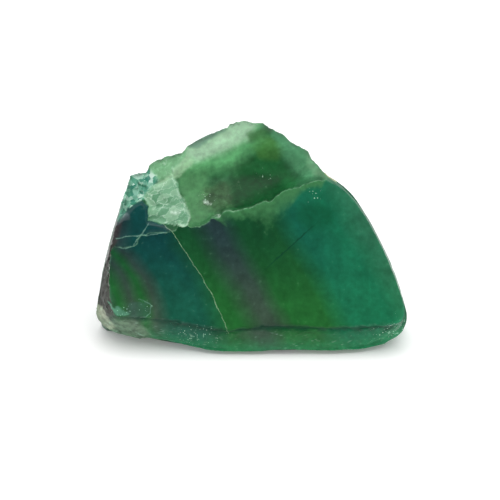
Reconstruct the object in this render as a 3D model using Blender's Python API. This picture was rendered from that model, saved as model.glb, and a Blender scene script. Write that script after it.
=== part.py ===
"""A rough chunk of banded green fluorite: one flat face, a broken top and a cleaved back.

The stone is one closed solid. Its front is a loft between two closed loops: the border of the flat
face, and the rim, which is the outline seen square to that face. From the rim a wide skirt runs
down to the ground. The back, the sides and the steps on them are then cleaved off it, because
fluorite splits along planes parallel to the faces of an octahedron, of which the flat face is one.

Points of the two loops are given on the flat face, in millimetres: across, up the slope of the
face and, for the rim, in behind it. Points of the foot are given on the ground, across and back.
Each loop has four sides that meet at shared corners, so that the loops match side by side.
"""

import math

import bmesh
import bpy
import numpy as np

MM = 0.001

# Driving dimensions, in millimetres and degrees
FACE_LEAN = 30.0  # how far the flat face leans back from upright
FACE_RISE = 1.9  # height of the face's lower zero line above the ground
COLUMN_PITCH = 1.05  # spacing of the loft's columns along the rim
LEDGE_DROP = 1.3  # step down from the flat face's upper border to the broken top
LEDGE_RUN = 0.05  # share of the way to the rim that the step takes
BOWL_DEPTH = 3.6  # deepest dish of the broken top below a straight slope
BOWL_ACROSS = 4.0  # where along the stone that dish is deepest
BOWL_REACH = 13.0  # how far to either side it fades
BOWL_BAND = 12.0  # width of the broken band that has the full dish
SHARD_DROP = 1.5  # height of the pale shard at the left of the break over the dish beside it
SHARD_SLOPE = 2.2  # width of the slope at the shard's edge
RIB_HEIGHT = 0.32  # height of the rib marks on the broken top
RIB_PITCH = 5.5  # spacing of the rib marks up the slope
RIB_SLANT = 0.3  # how far they run up for each millimetre across
BROKEN_FROM = 22.0  # height up the face at which the broken top begins at the left
CALM_COLUMNS = 5  # how many columns to either side smooth out the rim's jags
CALM_RUN = 0.2  # share of the way to the foot on which the jags are lost
BLOCK = 150.0  # side of the blocks that the steps are cut with

# Points in the loops' order: the left side upwards, the top, the right side downwards, the bottom
FACE_BORDER = {  # across, up
    "left": [(-27.7, 7.0), (-28.4, 10.7), (-28.8, 15.8), (-28.4, 19.9)],
    "top": [
        (-27.7, 21.2), (-26.0, 20.6), (-23.8, 21.0), (-22.3, 23.3), (-19.8, 23.6), (-17.6, 23.9),
        (-16.2, 24.0), (-14.8, 25.2), (-12.4, 24.9), (-10.4, 24.9), (-9.0, 25.6), (-8.0, 26.7),
        (-6.4, 27.0), (-5.2, 28.2), (-3.2, 28.1), (-1.8, 28.7), (0.1, 29.1), (2.1, 29.8),
        (3.8, 30.3), (4.9, 31.3), (5.9, 32.2), (7.8, 32.4), (9.4, 32.8), (10.9, 33.6),
        (12.7, 34.2),
    ],
    "right": [
        (14.6, 34.2), (16.8, 33.2), (18.6, 31.6), (20.4, 29.0), (22.8, 25.0), (25.2, 20.2),
        (27.2, 15.2), (28.8, 11.0), (29.6, 8.4), (30.0, 6.6),
    ],
    "bottom": [
        (29.3, 5.3), (27.9, 5.1), (19.4, 4.8), (9.7, 4.7), (4.8, 5.1), (1.6, 5.0), (-2.1, 4.5),
        (-5.2, 4.2), (-8.6, 4.4), (-11.4, 5.2), (-14.8, 5.8), (-20.9, 6.8), (-24.4, 6.9),
    ],
}  # fmt: skip

RIM = {  # across, up, in behind the face
    "left": [
        (-31.2, 6.4, 8.6), (-31.4, 7.6, 8.2), (-30.6, 11.2, 6.4), (-29.6, 16.8, 5.0),
        (-28.0, 22.4, 4.2), (-26.6, 27.2, 4.0), (-25.4, 31.6, 4.2),
    ],
    "top": [
        (-24.2, 35.2, 4.6), (-22.8, 35.8, 5.0), (-21.2, 36.0, 5.4), (-20.8, 37.2, 5.8),
        (-19.2, 38.4, 6.4), (-16.8, 39.4, 6.8), (-14.0, 39.8, 7.0), (-13.0, 41.4, 7.6),
        (-10.2, 42.8, 8.4), (-8.2, 44.0, 8.8), (-5.0, 45.0, 9.2), (-4.4, 45.8, 9.4),
        (-1.4, 46.4, 9.6), (2.2, 46.0, 9.4), (3.2, 45.0, 9.0), (6.4, 43.6, 8.2),
        (8.2, 42.0, 7.6), (11.2, 40.2, 6.4), (11.6, 39.0, 5.8), (14.0, 36.4, 4.2),
    ],
    "right": [
        (15.6, 35.0, 3.2), (17.4, 34.0, 2.6), (19.0, 32.8, 2.4), (20.2, 31.4, 2.4),
        (21.6, 29.2, 2.4), (24.6, 24.4, 2.4), (27.2, 18.4, 2.6), (29.6, 12.4, 3.0),
        (31.0, 8.2, 3.8), (31.3, 6.4, 4.4),
    ],
    "bottom": [
        (31.2, 5.0, 5.4), (30.4, 3.6, 6.2), (29.2, 2.8, 6.0), (26.4, 1.2, 4.2), (24.0, 0.8, 3.4),
        (16.6, 0.1, 2.4), (9.6, 0.6, 2.6), (-1.2, 0.0, 2.4), (-6.0, 0.0, 2.4), (-9.6, 0.4, 2.8),
        (-12.0, 1.0, 3.4), (-14.4, 1.8, 4.2), (-16.8, 2.4, 5.0), (-20.8, 2.8, 5.8),
        (-22.8, 2.5, 5.8), (-27.6, 3.6, 7.2), (-30.0, 4.8, 8.2),
    ],
}  # fmt: skip

FOOT = {  # across, back; left, top and right lie outside the cleaved sides
    "left": [(-29.4, 11.5), (-32.5, 16.0), (-36.0, 24.0)],
    "top": [(-34.0, 36.0), (-12.0, 40.0), (14.0, 40.0)],
    "right": [(34.0, 32.0), (36.0, 20.0), (30.0, 12.4)],
    "bottom": [(28.8, 10.5), (26.4, 6.4), (20.0, 4.6), (4.0, 4.2), (-9.0, 4.6), (-17.0, 8.0)],
}

SIDES = ("left", "top", "right", "bottom")
TURN = {"left": 0.30, "top": 0.0, "right": 0.95, "bottom": 0.30}  # 0 is a straight band, 1 a round one
FRONT_STEPS = np.array([0.0, 0.05, 0.12, 0.2, 0.28, 0.36, 0.44, 0.52, 0.6, 0.68, 0.76, 0.84, 0.92, 1.0])
SKIRT_STEPS = np.array([0.0, 0.06, 0.16, 0.34, 0.62, 1.0])
SHARD_EDGE = [(-13.1, 24.6), (-12.6, 26.6), (-14.2, 31.3), (-15.6, 35.4), (-15.0, 39.0)]  # across, up

# Directions that fluorite splits square to, as across, up the face and in behind the face
OCTAHEDRAL = {
    "right": (math.sqrt(2 / 3), math.sqrt(2) / 3, 1 / 3),
    "left": (-math.sqrt(2 / 3), math.sqrt(2) / 3, 1 / 3),
    "back": (0.0, 0.0, 1.0),
    "crown": (0.0, math.sqrt(8) / 3, -1 / 3),
}
FRACTURED = {"left": (-0.915, 0.229, 0.333), "back": (0.05, 0.57, 0.82)}  # rough breaks, same terms

SIDES_CLEAVED = [  # direction, distance from the middle of the ground line
    (OCTAHEDRAL["right"], 33.1),
    (OCTAHEDRAL["back"], 23.2),
    (FRACTURED["left"], 33.5),
    (FRACTURED["back"], 34.5),
]
STEPS_CLEAVED = {  # each step is what lies past all its planes
    "right_step": [(OCTAHEDRAL["right"], 31.6), (OCTAHEDRAL["back"], 10.5)],
    "upper_right_step": [(OCTAHEDRAL["right"], 29.6), (OCTAHEDRAL["back"], 12.5), (OCTAHEDRAL["crown"], 15.0)],
    "left_corner": [(OCTAHEDRAL["left"], 33.0), (OCTAHEDRAL["back"], 11.5)],
    "left_step": [(FRACTURED["left"], 31.7), (OCTAHEDRAL["back"], 13.0)],
    "back_step": [(OCTAHEDRAL["back"], 20.8), (OCTAHEDRAL["right"], 14.0)],
}

FLUORITE_GREEN = (0.012, 0.125, 0.062, 1.0)
FLUORITE_ROUGHNESS = 0.18
FLUORITE_IOR = 1.434


def along(points, shares):
    """Points at these shares of a polyline's length."""
    points = np.asarray(points, float)
    lengths = np.concatenate([[0.0], np.cumsum(np.linalg.norm(np.diff(points, axis=0), axis=1))])
    where = np.asarray(shares) * lengths[-1]
    return np.stack([np.interp(where, lengths, axis) for axis in points.T], axis=1)


def side_of(loop, side):
    """One side of a loop with the corner that it shares with the next side."""
    following = SIDES[(SIDES.index(side) + 1) % len(SIDES)]
    return loop[side] + [loop[following][0]]


def knots(points):
    """Shares of a polyline's length at which its points lie."""
    lengths = np.linalg.norm(np.diff(np.asarray(points, float), axis=0), axis=1)
    return np.concatenate([[0.0], np.cumsum(lengths)]) / lengths.sum()


def columns():
    """Face border, rim and foot sampled at matching columns, and how rounded each column is."""
    border, rim, foot, turn = [], [], [], []
    for side in SIDES:
        rim_side = side_of(RIM, side)
        length = np.linalg.norm(np.diff(np.asarray(rim_side), axis=0), axis=1).sum()
        even = np.arange(round(length / COLUMN_PITCH)) / round(length / COLUMN_PITCH)
        corners = knots(rim_side)[:-1]
        spare = np.abs(even[:, None] - corners[None, :]).min(axis=1) > 0.4 * COLUMN_PITCH / length
        shares = np.sort(np.concatenate([even[spare], corners]))
        border.append(along(side_of(FACE_BORDER, side), shares))
        rim.append(along(rim_side, shares))
        foot.append(along(side_of(FOOT, side), shares))
        turn.append(np.full(len(shares), TURN[side]))
    turn = np.concatenate(turn)
    blurred = sum(np.roll(turn, shift) for shift in range(-2, 3)) / 5
    return np.concatenate(border), np.concatenate(rim), np.concatenate(foot), blurred


def from_face(across, up, behind):
    """Face directions turned into across, back and height."""
    lean = math.radians(FACE_LEAN)
    back = up * math.sin(lean) + behind * math.cos(lean)
    height = up * math.cos(lean) - behind * math.sin(lean)
    return np.stack([across, back, height], axis=-1)


def on_ground(across, up, behind):
    """A point given on the flat face, as across, back and height above the ground."""
    return from_face(across, up, behind) + np.array([0.0, 0.0, FACE_RISE])


def smooth_step(x):
    """0 below 0, 1 above 1, an S-curve between."""
    x = np.clip(x, 0.0, 1.0)
    return x * x * (3 - 2 * x)


def hump(x):
    """0 at 0 and at 1, 1 at a third: a dish that is deepest near the flat face."""
    return 6.75 * x * (1 - x) ** 2


def break_depth(across, up, step, band):
    """How far the broken top lies below a straight slope from the face's border to the rim."""
    ledge = LEDGE_DROP * smooth_step(step / LEDGE_RUN) * (1 - step)
    reach = np.exp(-(((across - BOWL_ACROSS) / BOWL_REACH) ** 2)) * smooth_step(band / BOWL_BAND)
    edge = np.asarray(SHARD_EDGE)
    on_shard = smooth_step((np.interp(up, edge[:, 1], edge[:, 0]) - across) / SHARD_SLOPE + 0.5)
    shard = SHARD_DROP * on_shard * np.sin(math.pi * step)
    ribs = np.sin(2 * math.pi * (up + RIB_SLANT * across) / RIB_PITCH) * np.sin(math.pi * step)
    return ledge + BOWL_DEPTH * reach * hump(step) - shard + RIB_HEIGHT * ribs


def front_loops(border, rim, turn):
    """Loops from the flat face's border out to the rim: the broken top and the rounded lower edges."""
    step = FRONT_STEPS[:, None]
    travel = (1 - turn) * step + turn * np.sin(step * math.pi / 2)
    sink = (1 - turn) * step + turn * (1 - np.cos(step * math.pi / 2))
    across = border[:, 0] + (rim[:, 0] - border[:, 0]) * travel
    up = border[:, 1] + (rim[:, 1] - border[:, 1]) * travel
    band = np.linalg.norm(rim[:, :2] - border, axis=1)
    broken = smooth_step((up - BROKEN_FROM) / 4.0) * smooth_step(1 - turn / TURN["left"])
    behind = rim[:, 2] * sink + broken * break_depth(across, up, step, band)
    return on_ground(across, up, behind)


def skirt_loops(rim, foot):
    """Loops from the rim down to the foot, which lose the rim's small jags on the way."""
    top = on_ground(rim[:, 0], rim[:, 1], rim[:, 2])
    calm = sum(np.roll(top, shift, axis=0) for shift in range(-CALM_COLUMNS, CALM_COLUMNS + 1))
    calm = calm / (2 * CALM_COLUMNS + 1)
    bottom = np.column_stack([foot, np.zeros(len(foot))])
    step = SKIRT_STEPS[:, None, None]
    return top + (calm - top) * smooth_step(step / CALM_RUN) * (1 - step) + (bottom - top) * step


def lofted_stone():
    """The loft as a closed mesh: the flat face, bands of quads and the foot."""
    border, rim, foot, turn = columns()
    loops = np.concatenate([front_loops(border, rim, turn), skirt_loops(rim, foot)[1:]])
    rows, count = loops.shape[:2]
    index = np.arange(rows * count).reshape(rows, count)
    following = np.roll(index, -1, axis=1)
    quads = np.stack([index[:-1], following[:-1], following[1:], index[1:]], axis=-1).reshape(-1, 4)
    mesh = bpy.data.meshes.new("fluorite_chunk")
    mesh.from_pydata(loops.reshape(-1, 3).tolist(), [], [index[0][::-1].tolist(), *quads.tolist(), index[-1].tolist()])
    return mesh


def cleave(body, direction, distance, keep_past=False):
    """Cut a body flat across, close the cut, and keep what lies short of the plane or past it."""
    normal = from_face(*direction)
    bmesh.ops.bisect_plane(
        body,
        geom=body.verts[:] + body.edges[:] + body.faces[:],
        plane_co=normal * distance,
        plane_no=normal,
        clear_outer=not keep_past,
        clear_inner=keep_past,
    )
    bmesh.ops.holes_fill(body, edges=[edge for edge in body.edges if edge.is_boundary])
    bmesh.ops.recalc_face_normals(body, faces=body.faces[:])


def step_block(name, planes):
    """A hidden block that holds what lies past all these planes."""
    block = bmesh.new()
    bmesh.ops.create_cube(block, size=BLOCK)
    for direction, distance in planes:
        cleave(block, direction, distance, keep_past=True)
    mesh = bpy.data.meshes.new(name)
    block.to_mesh(mesh)
    block.free()
    cutter = bpy.data.objects.new(name, mesh)
    cutter.hide_render = True
    cutter.display_type = "WIRE"
    return cutter


def cleaved_stone():
    """The stone, in millimetres, with its back and sides cleaved flat and stepped."""
    body = bmesh.new()
    body.from_mesh(lofted_stone())
    for direction, distance in SIDES_CLEAVED:
        cleave(body, direction, distance)
    mesh = bpy.data.meshes.new("fluorite_chunk")
    body.to_mesh(mesh)
    body.free()
    stone = bpy.data.objects.new("fluorite_chunk", mesh)
    bpy.context.scene.collection.objects.link(stone)
    for name, planes in STEPS_CLEAVED.items():
        cutter = step_block(name, planes)
        bpy.context.scene.collection.objects.link(cutter)
        cut = stone.modifiers.new(name, "BOOLEAN")
        cut.operation = "DIFFERENCE"
        cut.object = cutter
    return stone


def stand_on_origin(stone):
    """Keep the cut stone, in metres, with the middle of its box over the origin and its foot on the ground."""
    seen = stone.evaluated_get(bpy.context.evaluated_depsgraph_get())
    mesh = bpy.data.meshes.new_from_object(seen)
    stone.modifiers.clear()
    stone.data = mesh
    points = np.array([vertex.co for vertex in mesh.vertices])
    low, high = points.min(axis=0), points.max(axis=0)
    foot_middle = np.array([(low[0] + high[0]) / 2, (low[1] + high[1]) / 2, low[2]])
    mesh.vertices.foreach_set("co", ((points - foot_middle) * MM).ravel())
    mesh.update()


def fluorite():
    """Translucent green fluorite."""
    material = bpy.data.materials.new("green_fluorite")
    material.use_nodes = True
    shader = material.node_tree.nodes["Principled BSDF"]
    shader.inputs["Base Color"].default_value = FLUORITE_GREEN
    shader.inputs["Roughness"].default_value = FLUORITE_ROUGHNESS
    shader.inputs["IOR"].default_value = FLUORITE_IOR
    shader.inputs["Metallic"].default_value = 0.0
    material.diffuse_color = FLUORITE_GREEN
    return material


def main():
    for old in list(bpy.data.objects):
        bpy.data.objects.remove(old)
    stone = cleaved_stone()
    stand_on_origin(stone)
    stone.data.materials.append(fluorite())
    for cutter in list(bpy.data.objects):
        if cutter != stone:
            bpy.data.objects.remove(cutter)


main()
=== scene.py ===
# %% [markdown]
# # A rough chunk of banded green fluorite
# Fluorite is a soft, glassy mineral. This piece was broken from a larger one: it has one wide flat
# face where it split clean, a dished and partly milky break along the top, a narrow crumbly band
# along the foot, and split planes behind. The frame gives the solid that stands for it in the
# physics model. This lesson dresses that solid with a finer surface and a banded, translucent finish.

# %% Loading the frame
import math

import bpy
import numpy as np
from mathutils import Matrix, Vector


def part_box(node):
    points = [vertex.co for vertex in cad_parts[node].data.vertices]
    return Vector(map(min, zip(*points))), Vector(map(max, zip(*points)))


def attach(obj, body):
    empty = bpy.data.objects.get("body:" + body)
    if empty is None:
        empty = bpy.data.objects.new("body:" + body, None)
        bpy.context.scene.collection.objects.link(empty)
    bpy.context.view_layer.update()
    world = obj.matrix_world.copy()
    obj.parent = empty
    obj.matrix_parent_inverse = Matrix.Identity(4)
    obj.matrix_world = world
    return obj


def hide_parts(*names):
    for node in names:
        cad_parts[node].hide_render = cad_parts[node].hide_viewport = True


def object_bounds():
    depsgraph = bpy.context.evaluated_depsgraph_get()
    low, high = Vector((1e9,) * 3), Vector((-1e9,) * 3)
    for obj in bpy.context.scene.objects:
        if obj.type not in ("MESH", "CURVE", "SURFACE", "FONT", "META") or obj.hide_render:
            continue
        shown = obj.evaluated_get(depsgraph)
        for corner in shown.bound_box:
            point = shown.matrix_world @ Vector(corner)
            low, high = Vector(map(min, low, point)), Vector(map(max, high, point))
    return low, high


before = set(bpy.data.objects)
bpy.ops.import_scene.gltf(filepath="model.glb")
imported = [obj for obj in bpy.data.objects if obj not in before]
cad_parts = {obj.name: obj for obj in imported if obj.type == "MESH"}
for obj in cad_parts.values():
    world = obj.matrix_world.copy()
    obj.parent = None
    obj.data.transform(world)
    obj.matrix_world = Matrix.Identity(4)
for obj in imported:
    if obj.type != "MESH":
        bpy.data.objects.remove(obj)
cad_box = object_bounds()
MM = 0.001
node_low, node_high = (np.array(corner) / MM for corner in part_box("fluorite_chunk"))

# %% [markdown]
# ## Directions on the stone
# The flat face leans back. Everything that shows from the front is easier to place on that face:
# across it, up its slope, and in behind it. Two short functions turn such places into the frame's
# axes. Distances are in millimetres until the mesh is filled.

# %% From the flat face to the frame
FACE_LEAN = math.radians(30.0)
FACE_RISE = 1.9


def from_face(across, up, behind):
    """Across stays; back = up * sin(lean) + behind * cos(lean), and height = up * cos(lean)
    - behind * sin(lean)."""
    back = up * math.sin(FACE_LEAN) + behind * math.cos(FACE_LEAN)
    height = up * math.cos(FACE_LEAN) - behind * math.sin(FACE_LEAN)
    return np.stack([across, back, height], axis=-1)


def on_ground(across, up, behind):
    """The same, raised by the height of the face's lower line above the ground."""
    return from_face(across, up, behind) + np.array([0.0, 0.0, FACE_RISE])


def along_face(direction, points):
    """How far points lie in a direction that is given as across, up and behind: the dot product."""
    return points @ from_face(*direction)


def smooth_step(x):
    """0 below 0, 1 above 1, and 3x^2 - 2x^3 between."""
    x = np.clip(x, 0.0, 1.0)
    return x * x * (3 - 2 * x)


print("a point 10 mm up the face stands at", on_ground(0.0, 10.0, 0.0).round(2), "mm")

# %% [markdown]
# ## Outlines
# The stone's front is a band between two closed lines: the border of the flat face, and the rim,
# which is the outline seen square to the face. From the rim the hidden sides run down to the foot.
# Each line has four sides that meet at shared corners.

# %% The three lines
SIDES = ("left", "top", "right", "bottom")
SIDE_COLUMNS = {"left": 130, "top": 380, "right": 160, "bottom": 190}

FACE_BORDER = {  # across, up
    "left": [(-27.7, 7.0), (-28.4, 10.7), (-28.8, 15.8), (-28.4, 19.9)],
    "top": [
        (-27.7, 21.2), (-26.0, 20.6), (-23.8, 21.0), (-22.3, 23.3), (-19.8, 23.6), (-17.6, 23.9),
        (-16.2, 24.0), (-14.8, 25.2), (-12.4, 24.9), (-10.4, 24.9), (-9.0, 25.6), (-8.0, 26.7),
        (-6.4, 27.0), (-5.2, 28.2), (-3.2, 28.1), (-1.8, 28.7), (0.1, 29.1), (2.1, 29.8),
        (3.8, 30.3), (4.9, 31.3), (5.9, 32.2), (7.8, 32.4), (9.4, 32.8), (10.9, 33.6),
        (12.7, 34.2),
    ],
    "right": [
        (14.8, 34.4), (17.1, 33.5), (19.0, 32.2), (21.1, 29.4), (23.8, 25.1), (26.4, 20.2),
        (28.4, 15.2), (30.0, 11.0), (30.8, 8.4), (31.0, 6.6),
    ],
    "bottom": [
        (30.2, 5.4), (27.9, 5.1), (19.4, 4.8), (9.7, 4.7), (4.8, 5.1), (1.6, 5.0), (-2.1, 4.5),
        (-5.2, 4.2), (-8.6, 4.4), (-11.4, 5.2), (-14.8, 5.8), (-20.9, 6.8), (-24.4, 6.9),
    ],
}  # fmt: skip

RIM = {  # across, up, in behind the face
    "left": [
        (-31.2, 6.4, 7.4), (-31.5, 7.6, 6.0), (-30.7, 11.2, 3.4), (-29.6, 16.8, 2.6),
        (-28.1, 22.4, 2.4), (-26.7, 27.2, 2.6), (-25.5, 31.6, 3.4),
    ],
    "top": [
        (-24.4, 35.2, 4.4), (-22.8, 35.8, 5.0), (-21.2, 36.0, 5.4), (-20.8, 37.2, 5.8),
        (-19.2, 38.4, 6.4), (-16.8, 39.4, 6.8), (-14.0, 39.8, 7.0), (-13.0, 41.4, 7.6),
        (-10.2, 42.8, 8.4), (-8.2, 44.0, 8.8), (-5.0, 45.0, 9.2), (-4.4, 45.8, 9.4),
        (-1.4, 46.4, 9.6), (2.2, 46.0, 9.4), (3.2, 45.0, 9.0), (6.4, 43.6, 8.2),
        (8.2, 42.0, 7.6), (11.2, 40.2, 6.4), (11.6, 39.0, 5.8), (14.0, 36.4, 4.2),
    ],
    "right": [
        (15.6, 35.0, 3.0), (17.4, 34.0, 2.2), (19.0, 32.9, 1.8), (20.3, 31.4, 1.7),
        (21.8, 29.2, 1.7), (24.7, 24.4, 1.7), (27.4, 18.4, 1.8), (29.7, 12.4, 2.2),
        (31.1, 8.2, 3.2), (31.4, 6.4, 4.2),
    ],
    "bottom": [
        (31.2, 5.0, 5.4), (30.4, 3.6, 6.2), (29.2, 2.8, 6.0), (26.4, 1.2, 4.2), (24.0, 0.8, 3.4),
        (16.6, 0.1, 2.4), (9.6, 0.6, 2.6), (-1.2, 0.0, 2.4), (-6.0, 0.0, 2.4), (-9.6, 0.4, 2.8),
        (-12.0, 1.0, 3.4), (-14.4, 1.8, 4.2), (-16.8, 2.4, 5.0), (-20.8, 2.8, 5.8),
        (-22.8, 2.5, 5.8), (-27.6, 3.6, 7.2), (-30.0, 4.8, 8.2),
    ],
}  # fmt: skip

FOOT = {  # across, back; left, top and right lie outside the cleaved sides
    "left": [(-29.4, 11.5), (-32.5, 16.0), (-36.0, 24.0)],
    "top": [(-34.0, 36.0), (-12.0, 40.0), (14.0, 40.0)],
    "right": [(34.0, 32.0), (36.0, 20.0), (30.0, 12.4)],
    "bottom": [(28.8, 10.5), (26.4, 6.4), (20.0, 4.6), (4.0, 4.2), (-9.0, 4.6), (-17.0, 8.0)],
}


def closed_line(line):
    """Each side's polyline sampled at even shares of its length, the four sides joined in one array."""
    sampled = []
    for number, side in enumerate(SIDES):
        corners = np.array(line[side] + [line[SIDES[(number + 1) % 4]][0]], float)
        lengths = np.concatenate([[0.0], np.cumsum(np.linalg.norm(np.diff(corners, axis=0), axis=1))])
        where = np.arange(SIDE_COLUMNS[side]) / SIDE_COLUMNS[side] * lengths[-1]
        sampled.append(np.stack([np.interp(where, lengths, axis) for axis in corners.T], axis=1))
    return np.concatenate(sampled)


def by_side(values):
    """A value for each side, or 0, spread over its columns and eased over the corners by a moving average."""
    spread = np.concatenate([np.full(SIDE_COLUMNS[side], values.get(side, 0.0)) for side in SIDES])
    return sum(np.roll(spread, shift) for shift in range(-9, 10)) / 19


border, rim, foot = closed_line(FACE_BORDER), closed_line(RIM), closed_line(FOOT)
columns = len(rim)
rim_low = on_ground(*rim.T).min(axis=0)
stone_middle = np.array([rim_low[0] - node_low[0], rim_low[1] - node_low[1], 0.0])


def place(points):
    """Millimetres from the middle of the ground line turned into the frame's metres."""
    return (np.asarray(points) - stone_middle) * MM


print("each line has", columns, "points; the frame's origin is at", stone_middle.round(2), "mm")

# %% [markdown]
# A broken edge is never a run of straight lines: it has nicks within nicks. The lines are first
# calmed where the stone is worn smooth, at the right, and then given nicks whose size depends on
# the side.

# %% Nicks along the edges
NICKS = {"left": 0.16, "top": 0.36, "right": 0.09, "bottom": 0.18}
CALM = {"left": 0.2, "right": 1.0, "bottom": 0.5}


def calmed(line, reach):
    """The mean of each point and its neighbours up to reach columns away on both sides."""
    return sum(np.roll(line, shift, axis=0) for shift in range(-reach, reach + 1)) / (2 * reach + 1)


def nicks(seed, spacings=(23, 11, 5)):
    """Random heights at every so many columns, joined by straight lines, three spacings added up."""
    rng = np.random.default_rng(seed)
    total = np.zeros(columns)
    for share, spacing in zip((0.4, 0.35, 0.25), spacings):
        knots = np.arange(0, columns, spacing)
        heights = rng.uniform(-1, 1, len(knots))
        total += share * np.interp(np.arange(columns), knots, heights, period=columns)
    return total


def outward(line):
    """Unit directions that point out of a closed line, square to it, in the flat face's own plane."""
    run = calmed(np.roll(line[:, :2], -1, axis=0) - np.roll(line[:, :2], 1, axis=0), 6)
    square = np.stack([-run[:, 1], run[:, 0]], axis=1)
    return square / np.linalg.norm(square, axis=1, keepdims=True)


calm_share = by_side(CALM)[:, None]
nick_size = by_side(NICKS)
border = border + (calmed(border, 14) - border) * calm_share
rim = rim + (calmed(rim, 14) - rim) * calm_share
border[:, :2] += outward(border) * (nick_size * nicks(3, (19, 8, 4)) * 1.7)[:, None]
rim[:, :2] += outward(rim) * (nick_size * nicks(4))[:, None]
rim[:, 2] += nick_size * nicks(5)
print("the top's nicks are up to", round(float(np.abs(nick_size * nicks(4)).max()), 2), "mm deep")

# %% [markdown]
# ## Noise, made from a lattice
# Broken stone needs two kinds of unevenness: soft swells, and the small flat chips of a crystal that
# splits along planes. Both are worked out for all points at once from a hash of whole numbers, so
# they come out the same on every run.


# %% Swells and chips
def hashed(cells, seed):
    """A number from 0 to 1 for each whole-numbered cell: multiply, fold and multiply again."""
    cells = cells.astype(np.int64)
    mixed = cells[..., 0] * 374761393 + cells[..., 1] * 668265263 + cells[..., 2] * 1442695041 + seed * 974711
    mixed = (mixed ^ (mixed >> 13)) * 1274126177 & 0xFFFFFFFF
    mixed = (mixed ^ (mixed >> 16)) * 668265263 & 0xFFFFFFFF
    return ((mixed ^ (mixed >> 15)) & 0xFFFFFF) / 0xFFFFFF


def swells(points, pitch, seed, octaves=1):
    """Values from -1 to 1 at lattice corners, eased between the eight corners round each point; each
    further octave has half the pitch and half the height."""
    total = np.zeros(points.shape[:-1])
    for octave in range(octaves):
        scaled = points / pitch * 2**octave + 17.3 * octave
        cell = np.floor(scaled)
        ease = smooth_step(scaled - cell)
        for corner in np.ndindex(2, 2, 2):
            share = np.prod(np.where(corner, ease, 1 - ease), axis=-1)
            total += share * (2 * hashed(cell + corner, seed + octave) - 1) / 2**octave
    return total


def chips(points, pitch, seed):
    """Small flat facets: each point takes the height of the tilted plane of its nearest cell centre."""
    scaled = points / pitch
    cell = np.floor(scaled)
    nearest = np.full(points.shape[:-1], np.inf)
    height = np.zeros(points.shape[:-1])
    for offset in np.ndindex(3, 3, 3):
        around = cell + np.array(offset) - 1
        jitter = np.stack([hashed(around, seed + axis) for axis in range(3)], axis=-1)
        away = scaled - around - jitter
        distance = (away**2).sum(axis=-1)
        tilt = np.stack([hashed(around, seed + 3 + axis) - 0.5 for axis in range(3)], axis=-1)
        plane = (away * tilt).sum(axis=-1) * 1.4 + (hashed(around, seed + 6) - 0.5) * 0.6
        closer = distance < nearest
        nearest = np.where(closer, distance, nearest)
        height = np.where(closer, plane, height)
    return height


print("chips range over", np.ptp(chips(np.random.default_rng(1).uniform(0, 9, (500, 3)), 1.0, 1)).round(2))

# %% [markdown]
# ## Patches of the break
# The break along the top isn't one surface. At its left a pale, flaky plate stands proud, with a
# milky green wedge above it and a crumbled corner beside it. A white milky fold crosses the dish up
# to the crest. A few more patches lie on the face, at the corners and along the foot. Each is a
# closed outline on the flat face, and its share at a point is eased over its edge.

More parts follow.
